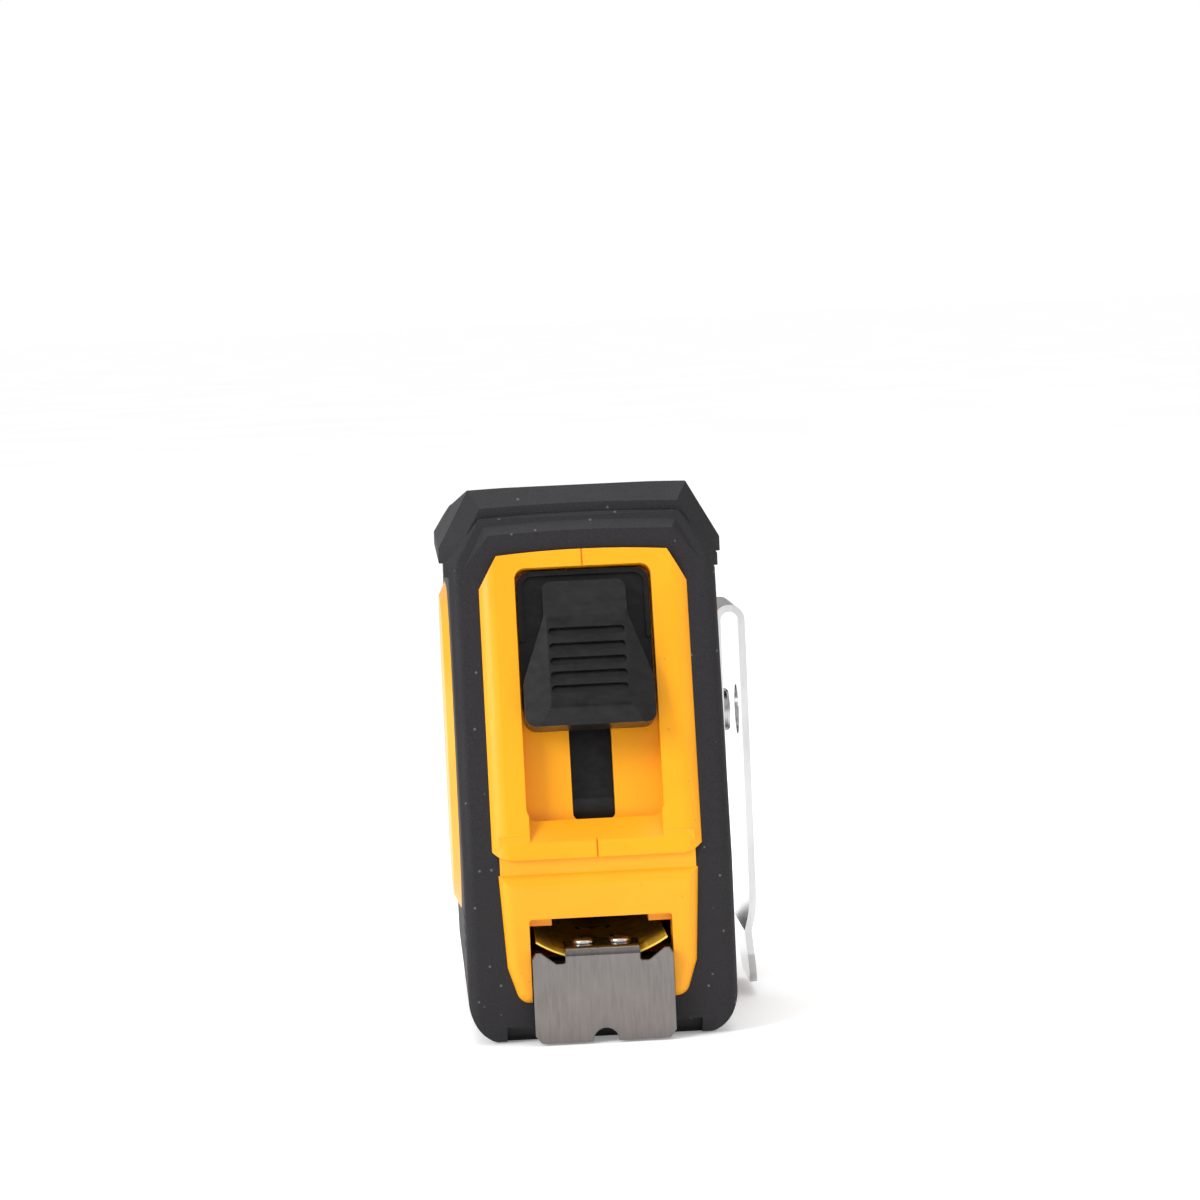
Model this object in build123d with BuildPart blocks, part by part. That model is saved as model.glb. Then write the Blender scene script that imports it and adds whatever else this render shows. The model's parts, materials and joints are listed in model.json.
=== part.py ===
from build123d import *
from math import cos, degrees, radians, sin, sqrt, tan
import os

# Pocket tape measure, 5 m x 19 mm class, standing on its base.
# Millimetres. +Z up, the blade leaves towards -Y, the belt clip is on +X.
# Origin: centre of the flat base.

# ---- driving dimensions -------------------------------------------------
HEIGHT = 75.2              # base to top of the cap
FACE_Y = -36.0             # front of the yellow mouth block
GRIP_HALF = 18.35          # half width over the rubber
CAP_HALF = 19.45           # half width over the cap
BOSS_FACE = 19.35          # half width over the yellow side bosses
CORE_HALF = 16.9           # half width of the hard case under the rubber
GRIP_SKIN = 2.0            # rubber thickness round the outline
WALL = 2.0                 # case wall
CAVITY_HALF = 14.0         # half width inside the case
GRIP_FRONT_Y = -35.0       # front of the rubber
GRIP_BACK_Y = 35.0
EDGE_ROUND = 1.6           # rounding of the rubber's long edges
LEAN = 12.5                # backward lean of the front, degrees
LEAN_Z = 24.0              # height where the lean starts
BROW_TOP = 71.2            # height of the body under the cap
REAR_ROUND = 24.0          # radius of the upper rear corner

REEL_Y, REEL_Z = 3.0, 40.5
BLADE_WIDTH = 19.0
BLADE_SHEET = 0.25
COIL_OUTER, COIL_INNER = 26.0, 21.3
POST_RADIUS = 3.2
RUNNING_GAP = 0.05         # radial clearance of the reel on its post
CUP_CENTRE_Z = 27.4        # centre of the blade's cupped section
CUP_UNDER = 16.2           # radius of the blade's underside
HOOK_FRONT_Y = -37.5
HOOK_SHEET = 0.9
CLIP_SHEET = 1.0

SCREW_SPOTS = [(26.0, 59.0), (-19.4, 60.2), (28.2, 18.8), (-22.0, 8.3)]
SCREW_SHANK, SCREW_HEAD = 1.25, 2.3

lean = radians(LEAN)
# Face plane: local x is X, local y runs up the leaning front, out is positive.
FRONT = Plane(origin=(0, FACE_Y, LEAN_Z), x_dir=(1, 0, 0), z_dir=(0, -cos(lean), sin(lean)))
os.makedirs("parts", exist_ok=True)


def up(z, out=0.0):
    """Distance up the front plane of a point at height z that stands out by the given amount."""
    return (z - LEAN_Z - out * sin(lean)) / cos(lean)


def save(builder, name):
    """Label the finished piece and write its STEP file."""
    builder.part.label = name
    export_step(builder.part, f"parts/{name}.step")


def corner(sketch, x, y):
    """The sketch's vertex nearest to a place in its own plane."""
    return sketch.vertices().sort_by_distance((x, y))[:1]


def body_outline(inset):
    """Side outline of the body, set in all round: local x is Y, local y is Z."""
    brow_y = GRIP_FRONT_Y + (BROW_TOP - LEAN_Z) * tan(lean)
    with BuildSketch() as outline:
        with BuildLine():
            Polyline(
                (GRIP_FRONT_Y, 0), (GRIP_FRONT_Y, LEAN_Z), (brow_y, BROW_TOP), (GRIP_BACK_Y, BROW_TOP),
                (GRIP_BACK_Y, 0), close=True,
            )
        make_face()
        fillet(corner(outline, GRIP_BACK_Y, BROW_TOP), radius=REAR_ROUND)
        fillet(corner(outline, GRIP_BACK_Y, 0), radius=12)
        fillet(corner(outline, GRIP_FRONT_Y, 0), radius=3)
        fillet(corner(outline, GRIP_FRONT_Y, LEAN_Z), radius=9)
        if inset:
            offset(amount=-inset, kind=Kind.INTERSECTION)
    return outline.sketch


def shoulder_outline(half, side_top, flat_half, top, radius, low=-0.8):
    """Front outline with rounded bottom corners and chamfered shoulders.

    It starts a little below the base, so that the corner rounds meet the base at an angle.
    """
    with BuildSketch() as outline:
        with BuildLine():
            Polyline(
                (-half, low), (half, low), (half, side_top), (flat_half, top), (-flat_half, top),
                (-half, side_top), close=True,
            )
        make_face()
        fillet(corner(outline, -half, low) + corner(outline, half, low), radius=radius)
    return outline.sketch


# ---- outer forms shared by the case and the grips ---------------------------
with BuildPart() as body_form:
    with BuildSketch(Plane.YZ):
        add(body_outline(0))
    extrude(amount=GRIP_HALF, both=True)
    for face in (body_form.faces().sort_by(Axis.X)[0], body_form.faces().sort_by(Axis.X)[-1]):
        fillet(face.edges(), radius=EDGE_ROUND)
    with BuildSketch(Plane.XZ):
        add(shoulder_outline(GRIP_HALF, 63.0, 13.7, BROW_TOP - 0.2, 7.0))
    extrude(amount=60, both=True, mode=Mode.INTERSECT)


def hood(front_y, half, side_z, low_z, flat_half, top, bevel):
    """Hood over the body: a front outline run back to the rear corner, its front edge bevelled."""
    with BuildPart() as shell:
        with BuildSketch(Plane.XZ.offset(-front_y)) as outline:
            with BuildLine():
                Polyline((-flat_half, top - 0.4), (-half, side_z), (-half, low_z), (half, low_z),
                         (half, side_z), (flat_half, top - 0.4))
                ThreePointArc((flat_half, top - 0.4), (0, top), (-flat_half, top - 0.4))
            make_face()
        extrude(amount=-(GRIP_BACK_Y + 2 - front_y))
        front_edges = shell.faces().sort_by(Axis.Y)[0].edges().sort_by(Axis.Z)[1:]
        chamfer(front_edges, length=bevel)
    return shell.part


REAR_CENTRE_Y, REAR_CENTRE_Z = GRIP_BACK_Y - REAR_ROUND, BROW_TOP - REAR_ROUND
CAP_FRONT_Y, CAP_BEVEL = -23.4, 2.5
BROW_FRONT_Y, BROW_BEVEL = -26.0, 2.3

with BuildPart() as cap_form:
    add(hood(CAP_FRONT_Y, CAP_HALF, 67.0, 65.0, 15.1, HEIGHT, CAP_BEVEL))
    # The top falls gently from the bevel to the rounded rear.
    with BuildSketch(Plane.YZ):
        with BuildLine():
            rear_radius = REAR_ROUND + 0.35
            Polyline((REAR_CENTRE_Y, REAR_CENTRE_Z + rear_radius), (CAP_FRONT_Y, HEIGHT + 0.1),
                     (CAP_FRONT_Y, REAR_CENTRE_Z), (REAR_CENTRE_Y + rear_radius, REAR_CENTRE_Z))
            RadiusArc((REAR_CENTRE_Y, REAR_CENTRE_Z + rear_radius),
                      (REAR_CENTRE_Y + rear_radius, REAR_CENTRE_Z), rear_radius)
        make_face()
    extrude(amount=30, both=True, mode=Mode.INTERSECT)

with BuildPart() as brow_form:
    add(hood(BROW_FRONT_Y, CAP_HALF - 0.6, 64.9, 63.2, 13.7, BROW_TOP + 0.2, BROW_BEVEL))
    with BuildSketch(Plane.YZ):
        with BuildLine():
            Polyline((BROW_FRONT_Y, 60), (BROW_FRONT_Y, 74), (-14, 74), (-17, 60), close=True)
        make_face()
    extrude(amount=30, both=True, mode=Mode.INTERSECT)

with BuildPart() as core_form:
    with BuildSketch(Plane.YZ):
        add(body_outline(GRIP_SKIN))
    extrude(amount=CORE_HALF, both=True)
    with BuildSketch(Plane.XZ):
        add(shoulder_outline(CORE_HALF, 62.5, 13.0, BROW_TOP - GRIP_SKIN, 5.0, low=1.2))
    extrude(amount=60, both=True, mode=Mode.INTERSECT)

with BuildPart() as cavity_form:
    with BuildSketch(Plane.YZ):
        add(body_outline(GRIP_SKIN + WALL))
    extrude(amount=CAVITY_HALF, both=True)
    with BuildSketch(Plane.XZ):
        add(shoulder_outline(CAVITY_HALF, 64.2, 12.0, BROW_TOP - GRIP_SKIN - WALL, 1.5))
    extrude(amount=60, both=True, mode=Mode.INTERSECT)

# ---- yellow front pad, mouth block and side bosses -----------------------------
PAD_HALF, BLOCK_DEPTH, PAD_ROUND = 15.2, 4.0, 2.6
RECESS_HALF, RECESS_DEPTH = 9.35, 3.6
RECESS_LOW, RECESS_HIGH = 30.5, 64.2
MOUTH_HALF, MOUTH_LOW, MOUTH_HIGH = 9.7, 6.0, 17.1
LOCK_SLOT_HALF = 2.9

with BuildPart() as front_pad:
    with BuildSketch(FRONT) as pad_face:
        with BuildLine():
            low, side_top, top = up(25.2), up(60.1), up(66.0)
            Polyline((-11.7, top), (-PAD_HALF, side_top), (-PAD_HALF, low), (PAD_HALF, low),
                     (PAD_HALF, side_top), (11.7, top))
            ThreePointArc((11.7, top), (0, top + 0.5), (-11.7, top))
        make_face()
        fillet(corner(pad_face, -PAD_HALF, low) + corner(pad_face, PAD_HALF, low), radius=4)
    extrude(amount=-BLOCK_DEPTH)
    # Broad rounding down both flanks: local y of this section points into the body.
    with BuildSketch(Plane(origin=FRONT.origin, x_dir=(1, 0, 0), z_dir=FRONT.y_dir)):
        with BuildLine():
            edge, flat = PAD_HALF, PAD_HALF - 3.8
            ThreePointArc((edge, PAD_ROUND), (edge - 1.1, 0.85), (flat, 0))
            Line((flat, 0), (-flat, 0))
            ThreePointArc((-flat, 0), (1.1 - edge, 0.85), (-edge, PAD_ROUND))
            Polyline((-edge, PAD_ROUND), (-edge - 1, PAD_ROUND), (-edge - 1, 6), (edge + 1, 6),
                     (edge + 1, PAD_ROUND), (edge, PAD_ROUND))
        make_face()
    extrude(amount=70, both=True, mode=Mode.INTERSECT)

# Space for the lock: a straight recess with a thumb ramp below it.
with BuildPart() as lock_recess:
    with BuildSketch(FRONT.offset(0.5)):
        with Locations((0, (up(RECESS_LOW) + up(RECESS_HIGH)) / 2)):
            RectangleRounded(2 * RECESS_HALF, up(RECESS_HIGH) - up(RECESS_LOW), 1.5)
    extrude(amount=-RECESS_DEPTH - 0.5)
    ramp_top = FRONT.from_local_coords((0, up(RECESS_LOW) + 1.0, -0.75 * RECESS_DEPTH))
    ramp_low = FRONT.from_local_coords((0, up(27.0), 0.3))
    ramp_out = FRONT.from_local_coords((0, up(RECESS_LOW) + 1.0, 0.5))
    with BuildSketch(Plane.YZ):
        with BuildLine():
            Polyline((ramp_top.Y, ramp_top.Z), (ramp_low.Y, ramp_low.Z), (ramp_out.Y, ramp_out.Z),
                     close=True)
        make_face()
    extrude(amount=RECESS_HALF - 0.3, both=True)

with BuildPart() as mouth_block:
    with BuildSketch(Plane.XZ.offset(-FACE_Y)) as block_face:
        with BuildLine():
            Polyline((-13.7, 23.3), (-13.0, 10.5), (-11.4, 5.5), (11.4, 5.5), (13.0, 10.5),
                     (13.7, 23.3), close=True)
        make_face()
        for side in (-1, 1):
            fillet(corner(block_face, side * 11.4, 5.5), radius=2.0)
    extrude(amount=-BLOCK_DEPTH)
    fillet(mouth_block.faces().sort_by(Axis.Y)[0].edges(), radius=1.7)
    # Set-back web that joins the block to the pad and forms the groove between them.
    with Locations((0, FACE_Y + 0.9 + BLOCK_DEPTH / 2, 24.3)):
        Box(26.6, BLOCK_DEPTH, 8.0)

BOSS_Y, BOSS_Z = 4.0, 37.5
BOSS_LENGTH, BOSS_HEIGHT, BOSS_ROUND, BOSS_BEVEL = 42.0, 46.0, 15.0, 1.0

with BuildPart() as side_boss:
    with BuildSketch(Plane.YZ.offset(CORE_HALF)):
        with Locations((BOSS_Y, BOSS_Z)):
            RectangleRounded(BOSS_LENGTH, BOSS_HEIGHT, BOSS_ROUND)
    extrude(amount=BOSS_FACE - CORE_HALF)
    chamfer(side_boss.faces().sort_by(Axis.X)[-1].edges(), length=BOSS_BEVEL, length2=2 * BOSS_BEVEL)
    fillet(side_boss.faces().sort_by(Axis.X)[-1].edges(), radius=1.0)

# ---- hard case, split on the centre plane ------------------------------------
PILLAR_FACE = 12.8         # inner ends of the pillars that carry the post

with BuildPart() as case_form:
    add(core_form.part)
    add(front_pad.part)
    add(mouth_block.part)
    add(side_boss.part)
    mirror(side_boss.part, about=Plane.YZ)
    add(cavity_form.part, mode=Mode.SUBTRACT)
    add(lock_recess.part, mode=Mode.SUBTRACT)
    # Hollows behind the side bosses.
    for side in (-1, 1):
        with BuildSketch(Plane.YZ.offset(side * (CORE_HALF + 1.2))):
            with Locations((BOSS_Y, BOSS_Z)):
                RectangleRounded(BOSS_LENGTH - 7, BOSS_HEIGHT - 7, BOSS_ROUND - 3)
        extrude(amount=-side * (CORE_HALF + 1.2 - CAVITY_HALF), mode=Mode.SUBTRACT)
    # Mouth: open downwards between two legs, then a window through the wall.
    with BuildSketch(Plane.XZ.offset(-FACE_Y + 1)):
        with Locations((0, (MOUTH_HIGH + MOUTH_LOW - 1) / 2)):
            RectangleRounded(2 * MOUTH_HALF, MOUTH_HIGH - MOUTH_LOW + 1, 0.45)
    extrude(amount=-6.5, mode=Mode.SUBTRACT)
    # Slot for the lock's neck.
    with BuildSketch(FRONT):
        slot_low, slot_high = up(RECESS_LOW), up(58.0)
        with Locations((0, (slot_low + slot_high) / 2)):
            RectangleRounded(2 * LOCK_SLOT_HALF, slot_high - slot_low, 1.0)
    extrude(amount=-7, mode=Mode.SUBTRACT)
    # Pillars for the post and the four screw posts.
    for side in (-1, 1):
        with BuildSketch(Plane.YZ.offset(side * PILLAR_FACE)):
            with Locations((REEL_Y, REEL_Z)):
                Circle(7.0)
        extrude(amount=side * (CORE_HALF + 1.4 - PILLAR_FACE))
    with BuildSketch(Plane.YZ):
        with Locations(SCREW_SPOTS):
            Circle(2.5)
    extrude(amount=CAVITY_HALF + 0.3, both=True)
    # Ribs inside the top corners of the mouth that steady the blade.
    for side in (-1, 1):
        with Locations((side * 8.2, -32.6, 16.5)):
            Box(3.2, 2.4, 1.2)
    # Socket for the post, clip screw hole and case screw holes.
    with BuildSketch(Plane.YZ.offset(-15)):
        with Locations((REEL_Y, REEL_Z)):
            Circle(POST_RADIUS)
    extrude(amount=30, mode=Mode.SUBTRACT)
    with BuildSketch(Plane.YZ.offset(15)):
        with Locations((REEL_Y, REEL_Z)):
            Circle(1.5)
    extrude(amount=7, mode=Mode.SUBTRACT)
    with BuildSketch(Plane.YZ.offset(-10)):
        with Locations(SCREW_SPOTS):
            Circle(SCREW_SHANK)
    extrude(amount=30, mode=Mode.SUBTRACT)
    # Moulding seam down the middle of the pad and the block.
    with BuildSketch(FRONT):
        with Locations((0, 20)):
            Rectangle(0.24, 60)
    extrude(amount=-0.3, both=True, mode=Mode.SUBTRACT)

for name, keep in (("case_left", Keep.BOTTOM), ("case_right", Keep.TOP)):
    with BuildPart() as case_half:
        add(case_form.part)
        split(bisect_by=Plane.YZ, keep=keep)
    save(case_half, name)

# ---- rubber grips over the case -------------------------------------------------
with BuildPart() as grip_form:
    add(body_form.part)
    add(brow_form.part)
    add(cap_form.part)
    add(core_form.part, mode=Mode.SUBTRACT)
    add(front_pad.part, mode=Mode.SUBTRACT)
    add(mouth_block.part, mode=Mode.SUBTRACT)
    add(side_boss.part, mode=Mode.SUBTRACT)
    add(mirror(side_boss.part, about=Plane.YZ, mode=Mode.PRIVATE), mode=Mode.SUBTRACT)
    # Front opening between the frame and the mouth block.
    with BuildSketch(Plane.XZ.offset(-GRIP_FRONT_Y + 1)):
        with Locations((0, (MOUTH_HIGH + MOUTH_LOW) / 2)):
            Rectangle(2 * MOUTH_HALF, MOUTH_HIGH - MOUTH_LOW)
    extrude(amount=-5, mode=Mode.SUBTRACT)
    # Undercut below the lip, between the two front feet.
    with BuildSketch(Plane.YZ):
        with BuildLine():
            Polyline((-36, -1), (-36, 2.4), (-34.2, 2.4), (-31.5, 0.4), (-31.5, -1), close=True)
        make_face()
    extrude(amount=13.3, both=True, mode=Mode.SUBTRACT)
    # Short grip slots low on each side and ribs across the back.
    for side in (-1, 1):
        for slot in range(3):
            with Locations((side * 18.2, -29.0, 13.4 + 1.9 * slot)):
                Box(1.4, 9.0, 0.8, mode=Mode.SUBTRACT)
    for rib in range(8):
        with Locations((0, GRIP_BACK_Y, 17.0 + 4.6 * rib)):
            Box(26.0, 1.2, 1.5, mode=Mode.SUBTRACT)
    # Access to the case screws on the clip side.
    with BuildSketch(Plane.YZ.offset(CORE_HALF)):
        with Locations(SCREW_SPOTS):
            Circle(SCREW_HEAD + 0.3)
    extrude(amount=4, mode=Mode.SUBTRACT)

for name, keep in (("grip_left", Keep.BOTTOM), ("grip_right", Keep.TOP)):
    with BuildPart() as grip_half:
        add(grip_form.part)
        split(bisect_by=Plane.YZ, keep=keep)
    save(grip_half, name)

# ---- lock: thumb button, slide with its tail, brake pad and detent spring ------
THUMB_LEAN = 25.5
BUTTON_OUT = 5.4           # how far the button's lower lip stands out of the pad
NECK_HALF, WIDE_HALF = 5.7, 8.9
PLATE_BACK, PLATE_FRONT = -3.4, -2.0
TAIL_HALF = 5.0
PAD_THICKNESS = 1.1

thumb = radians(THUMB_LEAN)
lip = FRONT.from_local_coords((0, up(46.0, BUTTON_OUT), BUTTON_OUT))
THUMB = Plane(origin=lip, x_dir=(1, 0, 0), z_dir=(0, -cos(thumb), sin(thumb)))

with BuildPart() as lock_button:
    with BuildSketch(FRONT.offset(PLATE_FRONT)) as button_front:
        with BuildLine():
            low, wide = up(43.5, BUTTON_OUT), up(49.6, 4.5)
            neck, top = up(57.8, 2.4), up(62.3, 0.5)
            Polyline((-WIDE_HALF, low), (WIDE_HALF, low), (WIDE_HALF, wide), (NECK_HALF, neck),
                     (NECK_HALF, top), (-NECK_HALF, top), (-NECK_HALF, neck), (-WIDE_HALF, wide),
                     close=True)
        make_face()
        for side in (-1, 1):
            fillet(corner(button_front, side * WIDE_HALF, low), radius=1.6)
            fillet(corner(button_front, side * WIDE_HALF, wide), radius=3.0)
            fillet(corner(button_front, side * NECK_HALF, neck), radius=3.0)
            fillet(corner(button_front, side * NECK_HALF, top), radius=1.2)
    extrude(amount=BUTTON_OUT - PLATE_FRONT + 1)
    # Side skirts: the grip face falls away on both sides.
    with BuildSketch(Plane(origin=THUMB.origin, x_dir=(1, 0, 0), z_dir=THUMB.y_dir)):
        with BuildLine():
            Polyline((-5.4, 0), (-9.6, 3.1), (-9.6, 14), (9.6, 14), (9.6, 3.1), (5.4, 0),
                     close=True)
        make_face()
    extrude(amount=30, both=True, mode=Mode.INTERSECT)
    # Side profile: sloping neck, grip face and a rounded lower lip.
    with BuildSketch(Plane.YZ) as side_cut:
        with BuildLine():
            face_top = THUMB.from_local_coords((0, (57.6 - 46.0) / cos(thumb), 0))
            neck_top = FRONT.from_local_coords((0, up(64.0, -0.8), -0.8))
            chin = THUMB.from_local_coords((0, -2.9, -1.5))
            inner = FRONT.from_local_coords((0, up(43.2), PLATE_FRONT))
            Polyline((neck_top.Y, neck_top.Z), (face_top.Y, face_top.Z), (lip.Y, lip.Z),
                     (chin.Y, chin.Z), (inner.Y, inner.Z - 2), (inner.Y + 25, inner.Z - 2),
                     (inner.Y + 25, neck_top.Z), close=True)
        make_face()
        fillet(corner(side_cut, lip.Y, lip.Z), radius=1.5)
        fillet(corner(side_cut, face_top.Y, face_top.Z), radius=2.0)
    extrude(amount=20, both=True, mode=Mode.INTERSECT)
    # Five finger grooves with rounded ends.
    for groove_z in (55.7, 53.7, 51.8, 50.0, 48.2):
        with BuildSketch(THUMB):
            with Locations((0, (groove_z - 46.0) / cos(thumb))):
                SlotOverall(10.4, 1.1)
        extrude(amount=-0.6, mode=Mode.SUBTRACT)
save(lock_button, "lock_button")

with BuildPart() as lock_slide:
    # Plate that rides in the recess, with a raised rim round its top.
    plate_low, plate_high = up(44.0), up(RECESS_HIGH) - 0.3
    with BuildSketch(FRONT.offset(PLATE_BACK)):
        with Locations((0, (plate_low + plate_high) / 2)):
            RectangleRounded(18.1, plate_high - plate_low, 2.0)
    extrude(amount=PLATE_FRONT - PLATE_BACK)
    with BuildSketch(FRONT.offset(PLATE_FRONT)) as rim:
        with Locations((0, (plate_low + plate_high) / 2)):
            RectangleRounded(18.1, plate_high - plate_low, 2.0)
            RectangleRounded(16.7, plate_high - plate_low - 1.4, 1.4, mode=Mode.SUBTRACT)
        with Locations((0, up(49.0))):
            Rectangle(20, up(54.5) - up(43.5), mode=Mode.SUBTRACT)
    extrude(amount=0.7)
    # Neck through the case wall.
    with BuildSketch(FRONT.offset(PLATE_BACK)):
        with Locations((0, (up(46.0) + up(56.0)) / 2)):
            Rectangle(5.2, up(56.0) - up(46.0))
    extrude(amount=-2.2)
    # Tail behind the wall, down to the brake foot above the blade.
    tail_front, tail_back = -5.4, -6.7
    points = [
        FRONT.from_local_coords((0, up(56.4), tail_front)),
        FRONT.from_local_coords((0, up(33.5), tail_front)),
    ]
    tail_top = FRONT.from_local_coords((0, up(56.4), tail_back))
    foot_y, foot_z = points[1].Y, 22.4
    heel_y = foot_y + 2.6
    heel_z = LEAN_Z + (heel_y - FACE_Y + tail_back / cos(lean)) / tan(lean)
    with BuildSketch(Plane.YZ):
        with BuildLine():
            Polyline((points[0].Y, points[0].Z), (points[1].Y, points[1].Z), (foot_y, foot_z),
                     (heel_y, foot_z), (heel_y, heel_z), (tail_top.Y, tail_top.Z), close=True)
        make_face()
    extrude(amount=TAIL_HALF, both=True)
save(lock_slide, "lock_slide")

with BuildPart() as brake_pad:
    with BuildSketch(Plane.XY.offset(foot_z)):
        with Locations((0, (foot_y + heel_y) / 2)):
            RectangleRounded(6.0, heel_y - foot_y - 0.2, 0.5)
    extrude(amount=-PAD_THICKNESS)
save(brake_pad, "brake_pad")

# ---- blade, end hook and rivets ---------------------------------------------------
BLADE_FRONT, BLADE_BACK = -36.4, 29.5
CUP_UPPER = CUP_UNDER - BLADE_SHEET
TAB_HALF, TAB_BACK = 5.1, -31.1
TAB_UNDER = CUP_CENTRE_Z - sqrt(CUP_UPPER ** 2 - TAB_HALF ** 2) + 0.08   # rests across the cup
TAB_UPPER = TAB_UNDER + HOOK_SHEET
RIVET_SPOTS = [(-2.5, -33.6), (2.5, -33.6)]
RIVET_LOW = 11.18                      # just under the blade at the rivets
RIVET_SHANK, RIVET_HEAD = 0.9, 1.5
HOOK_PLAY = 0.9                        # equals the hook's thickness


def cup_sector(outer, inner, half_angle):
    """Cross-section of a cupped strip: a ring sector below the cup's centre."""
    def rim(radius, angle):
        return (radius * sin(radians(angle)), CUP_CENTRE_Z - radius * cos(radians(angle)))
    with BuildSketch() as sector:
        with BuildLine():
            ThreePointArc(rim(outer, -half_angle), rim(outer, 0), rim(outer, half_angle))
            Line(rim(outer, half_angle), rim(inner, half_angle))
            ThreePointArc(rim(inner, half_angle), rim(inner, 0), rim(inner, -half_angle))
            Line(rim(inner, -half_angle), rim(outer, -half_angle))
        make_face()
    return sector.sketch


blade_angle = degrees(BLADE_WIDTH / 2 / CUP_UNDER)

with BuildPart() as blade_tongue:
    with BuildSketch(Plane.XZ.offset(-BLADE_FRONT)):
        add(cup_sector(CUP_UNDER, CUP_UPPER, blade_angle))
    extrude(amount=-(BLADE_BACK - BLADE_FRONT))
    with BuildSketch(Plane.XY.offset(TAB_UNDER)):
        with Locations(RIVET_SPOTS):
            Circle(RIVET_SHANK)
    extrude(amount=-4, mode=Mode.SUBTRACT)
save(blade_tongue, "blade_tongue")

with BuildPart() as end_hook:
    # Face plate: outline with ears, dips beside the tab and a notch for a nail at the bottom.
    with BuildSketch(Plane.XZ.offset(-HOOK_FRONT_Y)) as hook_face:
        with BuildLine():
            Polyline((TAB_HALF, TAB_UPPER), (TAB_HALF, 11.1), (6.3, 11.1), (8.4, 12.7), (9.1, 12.7),
                     (9.55, 11.9), (9.55, 1.4), (8.7, 0.3), (-8.7, 0.3), (-9.55, 1.4), (-9.55, 11.9),
                     (-9.1, 12.7), (-8.4, 12.7), (-6.3, 11.1), (-TAB_HALF, 11.1),
                     (-TAB_HALF, TAB_UPPER), close=True)
        make_face()
        for side in (-1, 1):
            fillet(corner(hook_face, side * 6.3, 11.1), radius=0.5)
            fillet(corner(hook_face, side * TAB_HALF, 11.1), radius=0.35)
            fillet(corner(hook_face, side * 8.4, 12.7), radius=0.4)
            fillet(corner(hook_face, side * 8.7, 0.3), radius=0.6)
        with Locations((0, 0.35)):
            Circle(1.75, mode=Mode.SUBTRACT)
    extrude(amount=-HOOK_SHEET)
    # Tab that lies over the cup of the blade.
    with Locations((0, (HOOK_FRONT_Y + TAB_BACK) / 2, TAB_UPPER - HOOK_SHEET / 2)):
        Box(2 * TAB_HALF, TAB_BACK - HOOK_FRONT_Y, HOOK_SHEET)
    # Slots that let the hook slide by its own thickness on the rivets.
    with BuildSketch(Plane.XY.offset(TAB_UPPER)):
        with Locations([(x, y + HOOK_PLAY / 2) for x, y in RIVET_SPOTS]):
            SlotCenterToCenter(HOOK_PLAY, 2 * (RIVET_SHANK + 0.1), rotation=90)
    extrude(amount=-2, mode=Mode.SUBTRACT)
    bend = end_hook.edges().filter_by(Axis.X).sort_by_distance((0, HOOK_FRONT_Y, TAB_UPPER))[0]
    fillet(bend, radius=1.2)
    inner_bend = end_hook.edges().filter_by(Axis.X).sort_by_distance(
        (0, HOOK_FRONT_Y + HOOK_SHEET, TAB_UNDER))[0]
    fillet(inner_bend, radius=0.3)
    face = end_hook.faces().sort_by(Axis.Y)[0]
    chamfer(face.edges().sort_by(Axis.Z)[:-1], length=0.12)
save(end_hook, "end_hook")

with BuildPart() as hook_rivets:
    # Head over the tab, shank through both, flat tail under the blade.
    with BuildSketch(Plane.XY.offset(TAB_UPPER + 0.08)):
        with Locations(RIVET_SPOTS):
            Circle(RIVET_HEAD)
    extrude(amount=0.5)
    fillet(hook_rivets.edges().group_by(Axis.Z)[-1], radius=0.35)
    with BuildSketch(Plane.XY.offset(RIVET_LOW)):
        with Locations(RIVET_SPOTS):
            Circle(RIVET_SHANK)
    extrude(amount=TAB_UPPER + 0.08 - RIVET_LOW)
    with BuildSketch(Plane.XY.offset(RIVET_LOW)):
        with Locations(RIVET_SPOTS):
            Circle(RIVET_HEAD)
    extrude(amount=-0.35)
save(hook_rivets, "hook_rivets")

# ---- reel, spring and post ----------------------------------------------------------
FLANGE_INNER, FLANGE_OUTER, FLANGE_RADIUS = 9.8, 11.0, 26.25
HUB_END, HUB_RADIUS = 12.0, 6.5
DRUM_INNER = 19.8

AXLE = Plane(origin=(0, REEL_Y, REEL_Z), x_dir=(0, 1, 0), z_dir=(1, 0, 0))

with BuildPart() as reel_drum:
    # Left flange, hub and the drum that the blade winds on.
    with BuildSketch(AXLE.offset(-FLANGE_OUTER)):
        Circle(FLANGE_RADIUS)
    extrude(amount=FLANGE_OUTER - FLANGE_INNER)
    with BuildSketch(AXLE.offset(-FLANGE_INNER)):
        Circle(COIL_INNER)
        Circle(DRUM_INNER, mode=Mode.SUBTRACT)
    extrude(amount=2 * FLANGE_INNER)
    with BuildSketch(AXLE.offset(-HUB_END)):
        Circle(HUB_RADIUS)
    extrude(amount=HUB_END - FLANGE_OUTER)
    with BuildSketch(AXLE.offset(-HUB_END)):
        Circle(POST_RADIUS + RUNNING_GAP)
    extrude(amount=5, mode=Mode.SUBTRACT)
    # Six windows lighten the flange.
    with BuildSketch(AXLE.offset(-FLANGE_OUTER)):
        with PolarLocations(13.0, 6):
            Circle(3.2)
    extrude(amount=FLANGE_OUTER - FLANGE_INNER, mode=Mode.SUBTRACT)
save(reel_drum, "reel_drum")

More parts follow.
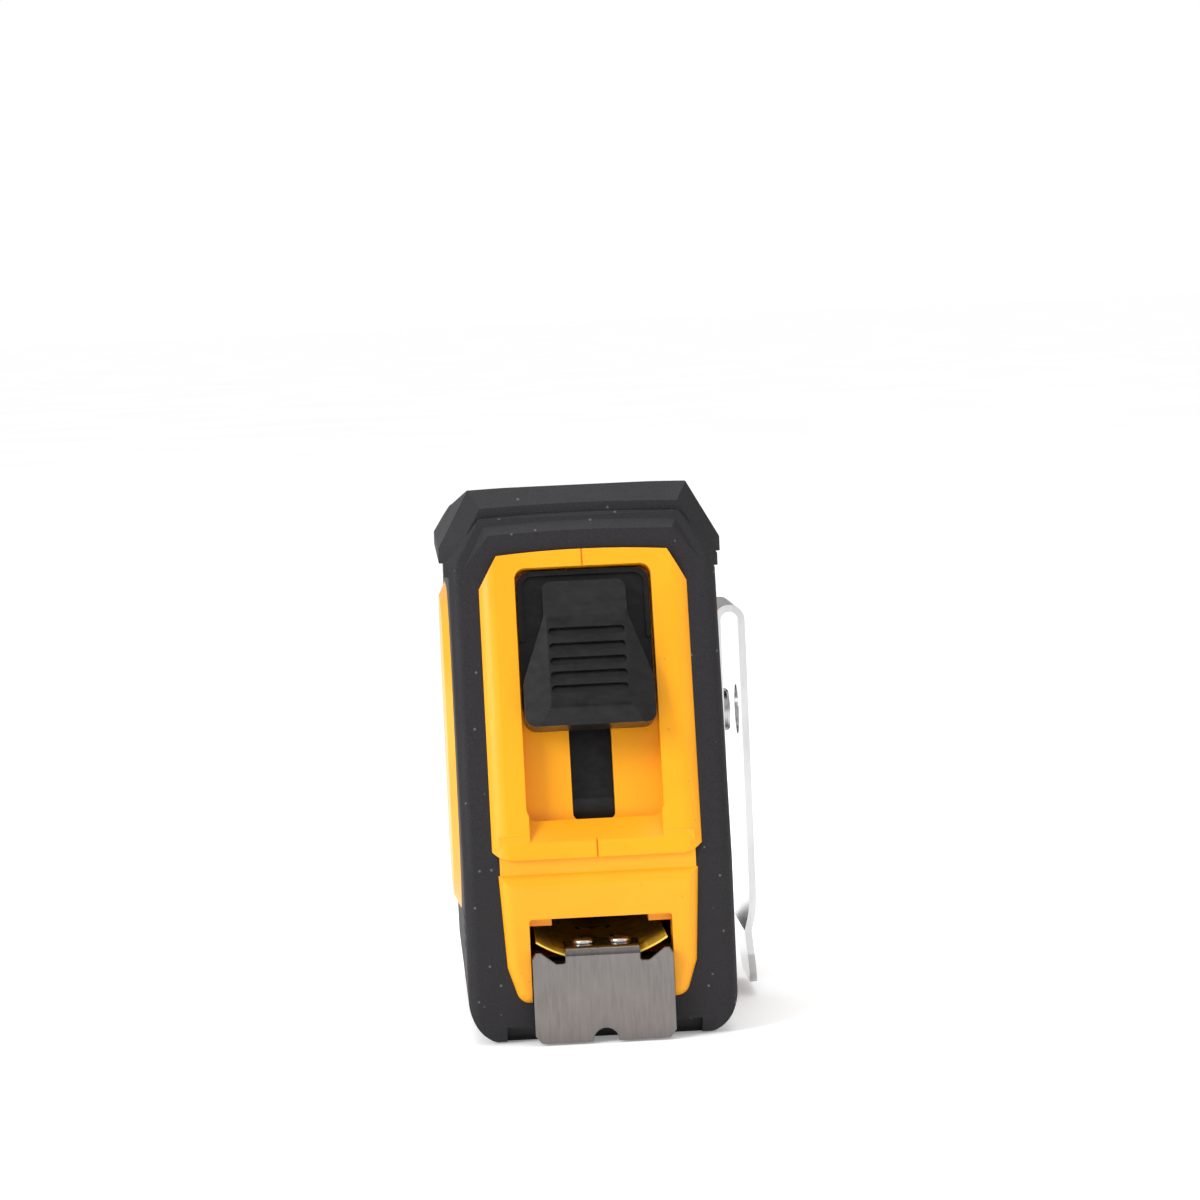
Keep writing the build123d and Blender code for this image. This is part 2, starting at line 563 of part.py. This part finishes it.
with BuildPart() as reel_lid:
    with BuildSketch(AXLE.offset(FLANGE_INNER)):
        Circle(FLANGE_RADIUS)
    extrude(amount=FLANGE_OUTER - FLANGE_INNER)
    with BuildSketch(AXLE.offset(FLANGE_OUTER)):
        Circle(HUB_RADIUS)
    extrude(amount=HUB_END - FLANGE_OUTER)
    with BuildSketch(AXLE.offset(FLANGE_INNER)):
        Circle(POST_RADIUS + RUNNING_GAP)
    extrude(amount=4, mode=Mode.SUBTRACT)
save(reel_lid, "reel_lid")

with BuildPart() as blade_coil:
    with BuildSketch(AXLE.offset(-BLADE_WIDTH / 2)):
        Circle(COIL_OUTER)
        Circle(COIL_INNER, mode=Mode.SUBTRACT)
    extrude(amount=BLADE_WIDTH)
save(blade_coil, "blade_coil")

SPRING_WIDTH, SPRING_SHEET, SPRING_TURNS = 16.0, 0.4, 5
with BuildPart() as power_spring:
    # Flat strip wound in half turns, from the drum wall in to just clear of the post.
    with BuildSketch(AXLE.offset(-SPRING_WIDTH / 2)):
        with BuildLine():
            step = (DRUM_INNER - SPRING_SHEET - 4.4) / (2 * SPRING_TURNS)
            radius, start, heading = DRUM_INNER, DRUM_INNER, 1
            for _ in range(2 * SPRING_TURNS):
                end = start - heading * (2 * radius - step)
                crest = (start + end) / 2
                ThreePointArc((start, 0), (crest, heading * (radius - step / 2)), (end, 0))
                radius, start, heading = radius - step, end, -heading
            offset(amount=SPRING_SHEET, side=Side.RIGHT)
        make_face()
    extrude(amount=SPRING_WIDTH)
save(power_spring, "power_spring")

with BuildPart() as centre_post:
    with BuildSketch(AXLE.offset(-15)):
        Circle(POST_RADIUS)
    extrude(amount=30)
    with BuildSketch(AXLE.offset(15)):
        Circle(1.5)
    extrude(amount=-10, mode=Mode.SUBTRACT)
save(centre_post, "centre_post")

with BuildPart() as thrust_washers:
    for side in (-1, 1):
        with BuildSketch(AXLE.offset(side * PILLAR_FACE)):
            Circle(6.0)
            Circle(POST_RADIUS, mode=Mode.SUBTRACT)
        extrude(amount=-side * 0.5)
save(thrust_washers, "thrust_washers")

# ---- fasteners ------------------------------------------------------------------------
with BuildPart() as case_screws:
    for spot_y, spot_z in SCREW_SPOTS:
        spot = Plane(origin=(0, spot_y, spot_z), x_dir=(0, 1, 0), z_dir=(1, 0, 0))
        with BuildSketch(spot.offset(CORE_HALF)):
            Circle(SCREW_HEAD)
        extrude(amount=1.2)
        with BuildSketch(spot.offset(CORE_HALF)):
            Circle(SCREW_SHANK)
        extrude(amount=-CORE_HALF - 10)
        # Cross recess.
        with BuildSketch(spot.offset(CORE_HALF + 1.2)):
            Rectangle(2.6, 0.6)
            Rectangle(0.6, 2.6)
        extrude(amount=-0.8, mode=Mode.SUBTRACT)
    rims = case_screws.faces().filter_by(Plane.YZ).sort_by(Axis.X)[-4:]
    chamfer(rims.edges().filter_by(GeomType.CIRCLE), length=0.3)
save(case_screws, "case_screws")

CLIP_HALF_WIDTH, CLIP_Y = 8.5, 3.0
CLIP_SCREW = 1.5
CLIP_IN, CLIP_OUT = BOSS_FACE, 23.8
clip_middle = (CLIP_IN + CLIP_OUT - CLIP_SHEET) / 2

with BuildPart() as belt_clip:
    # Bent strip: short leg screwed to the side boss, long springy leg outside.
    with BuildSketch(Plane.XZ.offset(-CLIP_Y - CLIP_HALF_WIDTH)):
        with BuildLine():
            outer = CLIP_OUT - CLIP_SHEET
            Line((CLIP_IN + CLIP_SHEET, 33.5), (CLIP_IN + CLIP_SHEET, 54.0))
            ThreePointArc((CLIP_IN + CLIP_SHEET, 54.0),
                          (clip_middle + CLIP_SHEET / 2, 54.0 + (outer - CLIP_IN - CLIP_SHEET) / 2),
                          (outer, 54.0))
            Line((outer, 54.0), (outer, 15.0))
            TangentArc((outer, 15.0), (outer - 0.9, 9.5), tangent=(0, -1))
            Line((outer - 0.9, 9.5), (outer - 0.2, 1.6))
            offset(amount=CLIP_SHEET, side=Side.RIGHT)
        make_face()
    extrude(amount=2 * CLIP_HALF_WIDTH)
    # Rounded free end and legs, screw hole and an access hole for the driver.
    with BuildSketch(Plane.YZ) as legs:
        with Locations((CLIP_Y, 32.0)):
            Rectangle(2 * CLIP_HALF_WIDTH, 62)
        fillet(corner(legs, CLIP_Y - CLIP_HALF_WIDTH, 1) + corner(legs, CLIP_Y + CLIP_HALF_WIDTH, 1),
               radius=5)
    extrude(amount=40, mode=Mode.INTERSECT)
    with BuildSketch(AXLE.offset(CLIP_IN - 1)):
        Circle(CLIP_SCREW)
    extrude(amount=2.5, mode=Mode.SUBTRACT)
    with BuildSketch(AXLE.offset(CLIP_OUT - CLIP_SHEET - 0.5)):
        Circle(3.6)
    extrude(amount=3, mode=Mode.SUBTRACT)
save(belt_clip, "belt_clip")

with BuildPart() as clip_screw:
    head_seat = CLIP_IN + CLIP_SHEET
    with BuildSketch(AXLE.offset(head_seat)):
        Circle(3.1)
    extrude(amount=1.3)
    chamfer(clip_screw.faces().sort_by(Axis.X)[-1].edges(), length=0.35)
    with BuildSketch(AXLE.offset(head_seat)):
        Circle(CLIP_SCREW)
    extrude(amount=-(head_seat - 6))
    with BuildSketch(AXLE.offset(head_seat + 1.3)):
        Rectangle(3.4, 0.8)
        Rectangle(0.8, 3.4)
    extrude(amount=-0.8, mode=Mode.SUBTRACT)
save(clip_screw, "clip_screw")

# ---- small inner pieces -----------------------------------------------------------------
with BuildPart() as mouth_bumper:
    # Stepped rubber block under the blade, just inside the mouth.
    with BuildSketch(Plane.YZ):
        with BuildLine():
            Polyline((-33, 5), (-31, 5), (-31, 4), (-26.5, 4), (-26.5, 8.5), (-29, 10.8),
                     (-32.4, 10.8), (-33, 10.2), close=True)
        make_face()
    extrude(amount=9.2, both=True)
save(mouth_bumper, "mouth_bumper")

with BuildPart() as detent_spring:
    # Bowed leaf on the inside of the front wall, beside the lock's tail.
    wall_inside = -(GRIP_SKIN + WALL) - (FACE_Y - GRIP_FRONT_Y) * -cos(lean)
    with BuildSketch(FRONT.offset(wall_inside)):
        with BuildLine():
            ThreePointArc((7.4, up(38)), (5.6, up(47)), (7.4, up(56)))
            offset(amount=0.35, side=Side.RIGHT)
        make_face()
    extrude(amount=-1.4)
save(detent_spring, "detent_spring")
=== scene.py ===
"""Looks for the pocket tape measure: materials, printed blade, fine detail, stage, light and camera."""
import json
import math

import bmesh
import bpy
from mathutils import Matrix, Vector


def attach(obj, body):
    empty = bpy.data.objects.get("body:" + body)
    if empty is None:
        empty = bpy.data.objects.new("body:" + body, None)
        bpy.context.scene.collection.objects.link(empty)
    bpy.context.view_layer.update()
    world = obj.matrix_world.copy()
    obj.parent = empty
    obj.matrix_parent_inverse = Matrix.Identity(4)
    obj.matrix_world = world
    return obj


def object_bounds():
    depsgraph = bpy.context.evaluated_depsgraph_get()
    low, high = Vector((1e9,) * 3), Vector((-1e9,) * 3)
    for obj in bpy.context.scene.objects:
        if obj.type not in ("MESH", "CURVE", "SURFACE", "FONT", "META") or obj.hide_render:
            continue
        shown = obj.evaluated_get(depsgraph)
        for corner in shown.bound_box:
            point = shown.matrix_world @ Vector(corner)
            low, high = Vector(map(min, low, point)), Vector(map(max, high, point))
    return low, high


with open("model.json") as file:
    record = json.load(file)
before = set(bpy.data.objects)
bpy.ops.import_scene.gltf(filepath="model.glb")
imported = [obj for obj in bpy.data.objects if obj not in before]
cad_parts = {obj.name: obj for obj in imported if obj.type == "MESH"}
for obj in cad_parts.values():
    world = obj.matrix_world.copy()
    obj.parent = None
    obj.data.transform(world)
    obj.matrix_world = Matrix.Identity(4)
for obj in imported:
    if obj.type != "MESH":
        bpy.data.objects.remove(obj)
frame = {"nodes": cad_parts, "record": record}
cad_low, cad_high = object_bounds()
MM = 0.001


# ---- materials --------------------------------------------------------------
class Shader:
    """A Principled material with a few helpers for procedural detail in object space."""

    def __init__(self, name, **sockets):
        self.material = bpy.data.materials.new(name)
        self.material.use_nodes = True
        self.nodes = self.material.node_tree.nodes
        self.links = self.material.node_tree.links
        self.main = self.nodes["Principled BSDF"]
        for socket, value in sockets.items():
            self.main.inputs[socket.replace("_", " ")].default_value = value
        self.place = self.nodes.new("ShaderNodeTexCoord").outputs["Object"]
        self.bump_end = None

    def stretched(self, scale):
        """Object coordinates scaled per axis, for grain that runs one way."""
        mapping = self.nodes.new("ShaderNodeMapping")
        mapping.inputs["Scale"].default_value = scale
        self.links.new(self.place, mapping.inputs["Vector"])
        return mapping.outputs["Vector"]

    def noise(self, scale, detail=3.0, roughness=0.5, vector=None):
        node = self.nodes.new("ShaderNodeTexNoise")
        node.inputs["Scale"].default_value = scale
        node.inputs["Detail"].default_value = detail
        node.inputs["Roughness"].default_value = roughness
        self.links.new(vector or self.place, node.inputs["Vector"])
        return node.outputs["Fac"]

    def specks(self, scale, size):
        """1 on small sparse spots, 0 elsewhere."""
        node = self.nodes.new("ShaderNodeTexVoronoi")
        node.inputs["Scale"].default_value = scale
        self.links.new(self.place, node.inputs["Vector"])
        return self.ramp(node.outputs["Distance"], (1, 1, 1), (0, 0, 0), size * 0.6, size)

    def ramp(self, value, low, high, start=0.35, end=0.65):
        """Colour ramp from low to high between two values."""
        node = self.nodes.new("ShaderNodeValToRGB")
        node.color_ramp.elements[0].position = start
        node.color_ramp.elements[1].position = end
        node.color_ramp.elements[0].color = (*low, 1)
        node.color_ramp.elements[1].color = (*high, 1)
        self.links.new(value, node.inputs["Fac"])
        return node.outputs["Color"]

    def span(self, value, low, high):
        """Map a 0..1 value to a range."""
        node = self.nodes.new("ShaderNodeMapRange")
        node.inputs["To Min"].default_value = low
        node.inputs["To Max"].default_value = high
        self.links.new(value, node.inputs["Value"])
        return node.outputs["Result"]

    def mix(self, factor, first, second):
        node = self.nodes.new("ShaderNodeMix")
        node.data_type = "RGBA"
        self.links.new(factor, node.inputs["Factor"])
        self.links.new(first, node.inputs[6])
        self.links.new(second, node.inputs[7])
        return node.outputs[2]

    def constant(self, colour):
        """One colour as an output, to mix with a varying one."""
        node = self.nodes.new("ShaderNodeRGB")
        node.outputs[0].default_value = (*colour, 1)
        return node.outputs[0]

    def colour(self, output):
        self.links.new(output, self.main.inputs["Base Color"])

    def rough(self, output):
        self.links.new(output, self.main.inputs["Roughness"])

    def bump(self, height, strength, distance):
        """Add a bump on top of those already there."""
        node = self.nodes.new("ShaderNodeBump")
        node.inputs["Strength"].default_value = strength
        node.inputs["Distance"].default_value = distance
        self.links.new(height, node.inputs["Height"])
        if self.bump_end:
            self.links.new(self.bump_end, node.inputs["Normal"])
        self.bump_end = node.outputs["Normal"]
        self.links.new(self.bump_end, self.main.inputs["Normal"])


def yellow_abs():
    """Moulded yellow ABS: fine orange peel, faint flow variation, rubbed spots and a little dust."""
    shader = Shader("yellow_abs", IOR=1.48, Specular_IOR_Level=0.34, Coat_Weight=0.06,
                    Coat_Roughness=0.18)
    shader.main.inputs["Subsurface Weight"].default_value = 0.05
    shader.main.inputs["Subsurface Radius"].default_value = (0.002, 0.001, 0.0004)
    broad = shader.noise(45, 3)
    paint = shader.ramp(broad, (0.88, 0.345, 0.004), (0.95, 0.395, 0.007))
    shader.colour(shader.mix(shader.specks(330, 0.055), paint, shader.constant((0.70, 0.27, 0.012))))
    shader.rough(shader.span(shader.noise(240, 4, 0.6), 0.28, 0.46))
    shader.bump(shader.noise(2600, 2), 0.12, 0.00006)
    shader.bump(shader.noise(1, 3, 0.6, shader.stretched((160, 160, 2200))), 0.05, 0.00004)
    shader.bump(shader.noise(500, 3), 0.05, 0.0001)
    return shader.material


def black_rubber():
    """Overmoulded rubber: spark-eroded texture, rubbed patches and small pale dust specks."""
    shader = Shader("black_rubber", IOR=1.47, Specular_IOR_Level=0.32)
    fine = shader.noise(5200, 4, 0.7)
    worn = shader.noise(120, 4, 0.6)
    texture = shader.ramp(fine, (0.008, 0.007, 0.009), (0.026, 0.024, 0.027), 0.42, 0.75)
    rubbed = shader.constant((0.018, 0.017, 0.019))
    base = shader.mix(shader.span(worn, 0.0, 0.5), texture, rubbed)
    shader.colour(shader.mix(shader.specks(430, 0.10), base, shader.constant((0.09, 0.09, 0.09))))
    shader.rough(shader.span(worn, 0.48, 0.74))
    shader.bump(fine, 0.35, 0.00012)
    shader.bump(shader.noise(300, 3), 0.08, 0.0002)
    return shader.material


def black_plastic(name, roughness):
    """Satin black nylon with faint handling marks."""
    shader = Shader(name, IOR=1.45, Specular_IOR_Level=0.30)
    marks = shader.noise(1, 3, 0.6, shader.stretched((500, 500, 900)))
    shader.colour(shader.ramp(marks, (0.004, 0.004, 0.0045), (0.010, 0.010, 0.011)))
    shader.rough(shader.span(shader.noise(700, 4), roughness - 0.08, roughness + 0.12))
    shader.bump(shader.noise(3000, 2), 0.10, 0.00005)
    shader.bump(shader.noise(420, 4), 0.06, 0.0001)
    return shader.material


def brushed_metal(name, low, high, roughness, grain, strength=0.15):
    """Metal with a brushed grain whose scale is given per axis."""
    shader = Shader(name, Metallic=1.0)
    lines = shader.noise(1, 4, 0.65, shader.stretched(grain))
    stains = shader.noise(260, 4, 0.6)
    shader.colour(shader.mix(shader.span(stains, 0.0, 0.6), shader.ramp(lines, low, high),
                             shader.ramp(stains, low, high)))
    shader.rough(shader.span(lines, roughness * 0.75, roughness * 1.3))
    shader.bump(lines, strength, 0.00003)
    return shader.material


def blade_lacquer():
    """Clear-lacquered yellow blade."""
    shader = Shader("blade_lacquer", IOR=1.5, Coat_Weight=0.35, Coat_Roughness=0.12)
    shader.colour(shader.ramp(shader.noise(160, 3), (0.78, 0.50, 0.030), (0.86, 0.58, 0.045)))
    shader.rough(shader.span(shader.noise(900, 4), 0.28, 0.45))
    shader.bump(shader.noise(1, 3, 0.5, shader.stretched((3000, 120, 3000))), 0.06, 0.00003)
    return shader.material


def scale_ink():
    """Printed black ink, slightly worn."""
    shader = Shader("scale_ink", Roughness=0.45, IOR=1.45)
    shader.colour(shader.ramp(shader.noise(1400, 3), (0.012, 0.012, 0.013), (0.03, 0.03, 0.03)))
    return shader.material


MATERIALS = {
    "case_yellow": yellow_abs(),
    "rubber_black": black_rubber(),
    "lock_black": black_plastic("lock_plastic", 0.30),
    "inner_black": black_plastic("inner_plastic", 0.45),
    "blade_yellow": blade_lacquer(),
    "hook_nickel": brushed_metal("satin_nickel", (0.155, 0.142, 0.138), (0.205, 0.190, 0.182), 0.20,
                                 (2400, 2400, 220), 0.03),
    "rivet_steel": brushed_metal("rivet_steel", (0.62, 0.61, 0.59), (0.82, 0.81, 0.79), 0.22,
                                 (900, 900, 900)),
    "spring_steel": brushed_metal("blued_steel", (0.16, 0.16, 0.19), (0.30, 0.30, 0.34), 0.30,
                                  (900, 200, 900)),
    "clip_chrome": brushed_metal("chrome", (0.46, 0.46, 0.47), (0.58, 0.58, 0.59), 0.10,
                                 (600, 600, 90), 0.03),
    "screw_steel": brushed_metal("zinc_steel", (0.42, 0.42, 0.44), (0.62, 0.62, 0.64), 0.28,
                                 (1500, 1500, 1500)),
    "brass_post": brushed_metal("brass", (0.60, 0.42, 0.16), (0.78, 0.58, 0.26), 0.25,
                                (300, 2500, 2500)),
}


def dress_nodes():
    """Give every CAD node its procedural material, by the record's slot."""
    for row in frame["record"]["subparts"]:
        node = frame["nodes"][row["node"]]
        node.data.materials.clear()
        node.data.materials.append(MATERIALS[row["material_slot"]])


# ---- printed scale on the blade ------------------------------------------------
CUP_CENTRE, CUP_RADIUS = 27.4, 15.95   # section of the blade's upper face, mm
ZERO_Y, PRINT_END = -36.6, 28.5        # inside face of the hook, last printed place
INK_LOW, INK_HIGH = 0.008, 0.022       # height of the ink over the blade
TICK_START, TICK_HALF = 9.2, 0.09      # place of the ticks' outer ends, half their thickness
TICK_CM, TICK_HALF_CM, TICK_MM = 5.0, 3.9, 2.7
DIGIT_WIDTH, DIGIT_HEIGHT, DIGIT_HALF = 2.6, 4.6, 0.26
DIGIT_GAP = 0.9                        # from a number to its tick
DIGITS = {
    "1": [[(0.2, 0.8), (0.55, 1), (0.55, 0)]],
    "2": [[(0, 0.82), (0.3, 1), (0.75, 1), (1, 0.8), (0.95, 0.6), (0, 0), (1, 0)]],
    "3": [[(0, 0.9), (0.3, 1), (0.8, 1), (1, 0.78), (0.75, 0.53), (0.4, 0.53)],
          [(0.75, 0.53), (1, 0.3), (0.8, 0), (0.25, 0), (0, 0.12)]],
    "4": [[(0.75, 0), (0.75, 1), (0, 0.3), (1, 0.3)]],
    "5": [[(1, 1), (0.1, 1), (0.05, 0.56), (0.7, 0.6), (1, 0.3), (0.75, 0), (0.2, 0), (0, 0.12)]],
    "6": [[(0.85, 1), (0.4, 0.9), (0.05, 0.5), (0, 0.22), (0.25, 0), (0.75, 0), (1, 0.28),
           (0.75, 0.56), (0.3, 0.54), (0.05, 0.35)]],
}


def on_cup(across, along, lift):
    """Point on the cupped blade: arc length across it, place along it, height over it."""
    radius = CUP_RADIUS - lift
    angle = across / CUP_RADIUS
    return Vector((radius * math.sin(angle), along, CUP_CENTRE - radius * math.cos(angle))) * MM


def ink_stroke(mesh, start, end, half_width):
    """Thin closed bar of ink that follows the cup from one place to another."""
    start, end = Vector(start), Vector(end)
    steps = max(1, math.ceil((end - start).length / 0.5))
    side = (end - start).normalized().orthogonal() * half_width
    rings = []
    for step in range(steps + 1):
        middle = start.lerp(end, step / steps)
        left, right = middle - side, middle + side
        rings.append([mesh.verts.new(on_cup(*left, INK_LOW)), mesh.verts.new(on_cup(*right, INK_LOW)),
                      mesh.verts.new(on_cup(*right, INK_HIGH)), mesh.verts.new(on_cup(*left, INK_HIGH))])
    for first, second in zip(rings, rings[1:]):
        for i in range(4):
            j = (i + 1) % 4
            mesh.faces.new((first[i], first[j], second[j], second[i]))
    mesh.faces.new(reversed(rings[0]))
    mesh.faces.new(rings[-1])


def print_blade():
    """Millimetre ticks along both edges and centimetre numbers down the middle."""
    mesh = bmesh.new()
    for tick in range(1, int(PRINT_END - ZERO_Y) + 1):
        along = ZERO_Y + tick
        length = TICK_CM if tick % 10 == 0 else TICK_HALF_CM if tick % 5 == 0 else TICK_MM
        for side in (-1, 1):
            outer, inner = side * TICK_START, side * (TICK_START - length)
            ink_stroke(mesh, (outer, along), (inner, along), TICK_HALF)
    for digit in "123456":
        right_edge = ZERO_Y + 10 * int(digit) - DIGIT_GAP
        for stroke in DIGITS[digit]:
            places = [(DIGIT_HEIGHT * (0.5 - y), right_edge - DIGIT_WIDTH * (1 - x))
                      for x, y in stroke]
            for start, end in zip(places, places[1:]):
                ink_stroke(mesh, start, end, DIGIT_HALF)
    bmesh.ops.recalc_face_normals(mesh, faces=mesh.faces)
    data = bpy.data.meshes.new("blade_print")
    mesh.to_mesh(data)
    mesh.free()
    data.materials.append(scale_ink())
    piece = bpy.data.objects.new("blade_print", data)
    bpy.context.scene.collection.objects.link(piece)
    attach(piece, "blade")


# ---- stage, light and camera ---------------------------------------------------
DISTANCE = 0.6
YAW, ELEVATION, ROLL = math.radians(2.5), math.radians(6.0), math.radians(2.55)
LENS = 125.3


def add_camera():
    """Long lens, a touch to the left of the front and slightly above, with the small roll."""
    middle = Vector((0, 0, (cad_low.z + cad_high.z) / 2))
    sight = Vector((math.sin(YAW) * math.cos(ELEVATION), math.cos(YAW) * math.cos(ELEVATION),
                    -math.sin(ELEVATION)))
    place = middle - sight * DISTANCE
    aim = Vector((0.0036, 0.0, 0.0574))
    data = bpy.data.cameras.new("camera")
    data.lens = LENS
    data.clip_start, data.clip_end = 0.05, 20
    camera = bpy.data.objects.new("camera", data)
    turn = (aim - place).to_track_quat("-Z", "Y").to_matrix() @ Matrix.Rotation(-ROLL, 3, "Z")
    camera.matrix_world = Matrix.Translation(place) @ turn.to_4x4()
    bpy.context.scene.collection.objects.link(camera)
    bpy.context.scene.camera = camera


def add_light(name, place, size, watts, target=(0, 0, 0.035), colour=(1, 1, 1)):
    data = bpy.data.lights.new(name, "AREA")
    data.size, data.energy, data.color = size, watts, colour
    light = bpy.data.objects.new(name, data)
    light.location = place
    light.rotation_euler = (Vector(target) - Vector(place)).to_track_quat("-Z", "Y").to_euler()
    bpy.context.scene.collection.objects.link(light)


def add_stage():
    """Pale floor and an even pale surround."""
    mesh = bpy.data.meshes.new("floor")
    reach = 40.0
    mesh.from_pydata([(-reach, -reach, 0), (reach, -reach, 0), (reach, reach, 0), (-reach, reach, 0)],
                     [], [(0, 1, 2, 3)])
    floor = bpy.data.objects.new("floor", mesh)
    shader = Shader("floor_paint", Roughness=0.85, Specular_IOR_Level=0.0,
                    Emission_Color=(1, 1, 1, 1), Emission_Strength=0.22)
    shader.colour(shader.ramp(shader.noise(6, 2), (0.90, 0.90, 0.90), (0.93, 0.93, 0.93)))
    mesh.materials.append(shader.material)
    bpy.context.scene.collection.objects.link(floor)
    world = bpy.data.worlds.new("surround")
    world.use_nodes = True
    nodes, links = world.node_tree.nodes, world.node_tree.links
    white = nodes["Background"]
    white.inputs["Color"].default_value = (1, 1, 1, 1)
    # What the metal reflects: bright above, darker round the horizon.
    soft = nodes.new("ShaderNodeBackground")
    split = nodes.new("ShaderNodeSeparateXYZ")
    links.new(nodes.new("ShaderNodeTexCoord").outputs["Generated"], split.inputs["Vector"])
    ramp = nodes.new("ShaderNodeValToRGB")
    ramp.color_ramp.elements[0].position, ramp.color_ramp.elements[1].position = 0.0, 0.7
    ramp.color_ramp.elements[0].color = (0.30, 0.30, 0.31, 1)
    ramp.color_ramp.elements[1].color = (0.95, 0.95, 0.95, 1)
    links.new(split.outputs["Z"], ramp.inputs["Fac"])
    links.new(ramp.outputs["Color"], soft.inputs["Color"])
    choice = nodes.new("ShaderNodeMixShader")
    links.new(nodes.new("ShaderNodeLightPath").outputs["Is Camera Ray"], choice.inputs["Fac"])
    links.new(soft.outputs["Background"], choice.inputs[1])
    links.new(white.outputs["Background"], choice.inputs[2])
    links.new(choice.outputs["Shader"], nodes["World Output"].inputs["Surface"])
    bpy.context.scene.world = world


add_camera()
add_stage()
add_light("key", (-0.70, -0.55, 0.50), 0.40, 6.0)
add_light("fill", (0.75, -0.50, 0.30), 0.50, 0.6, colour=(1.0, 0.85, 0.68))
add_light("top", (0.0, 0.20, 0.90), 0.60, 3.5)
bpy.context.scene.view_settings.view_transform = "Standard"
dress_nodes()
print_blade()
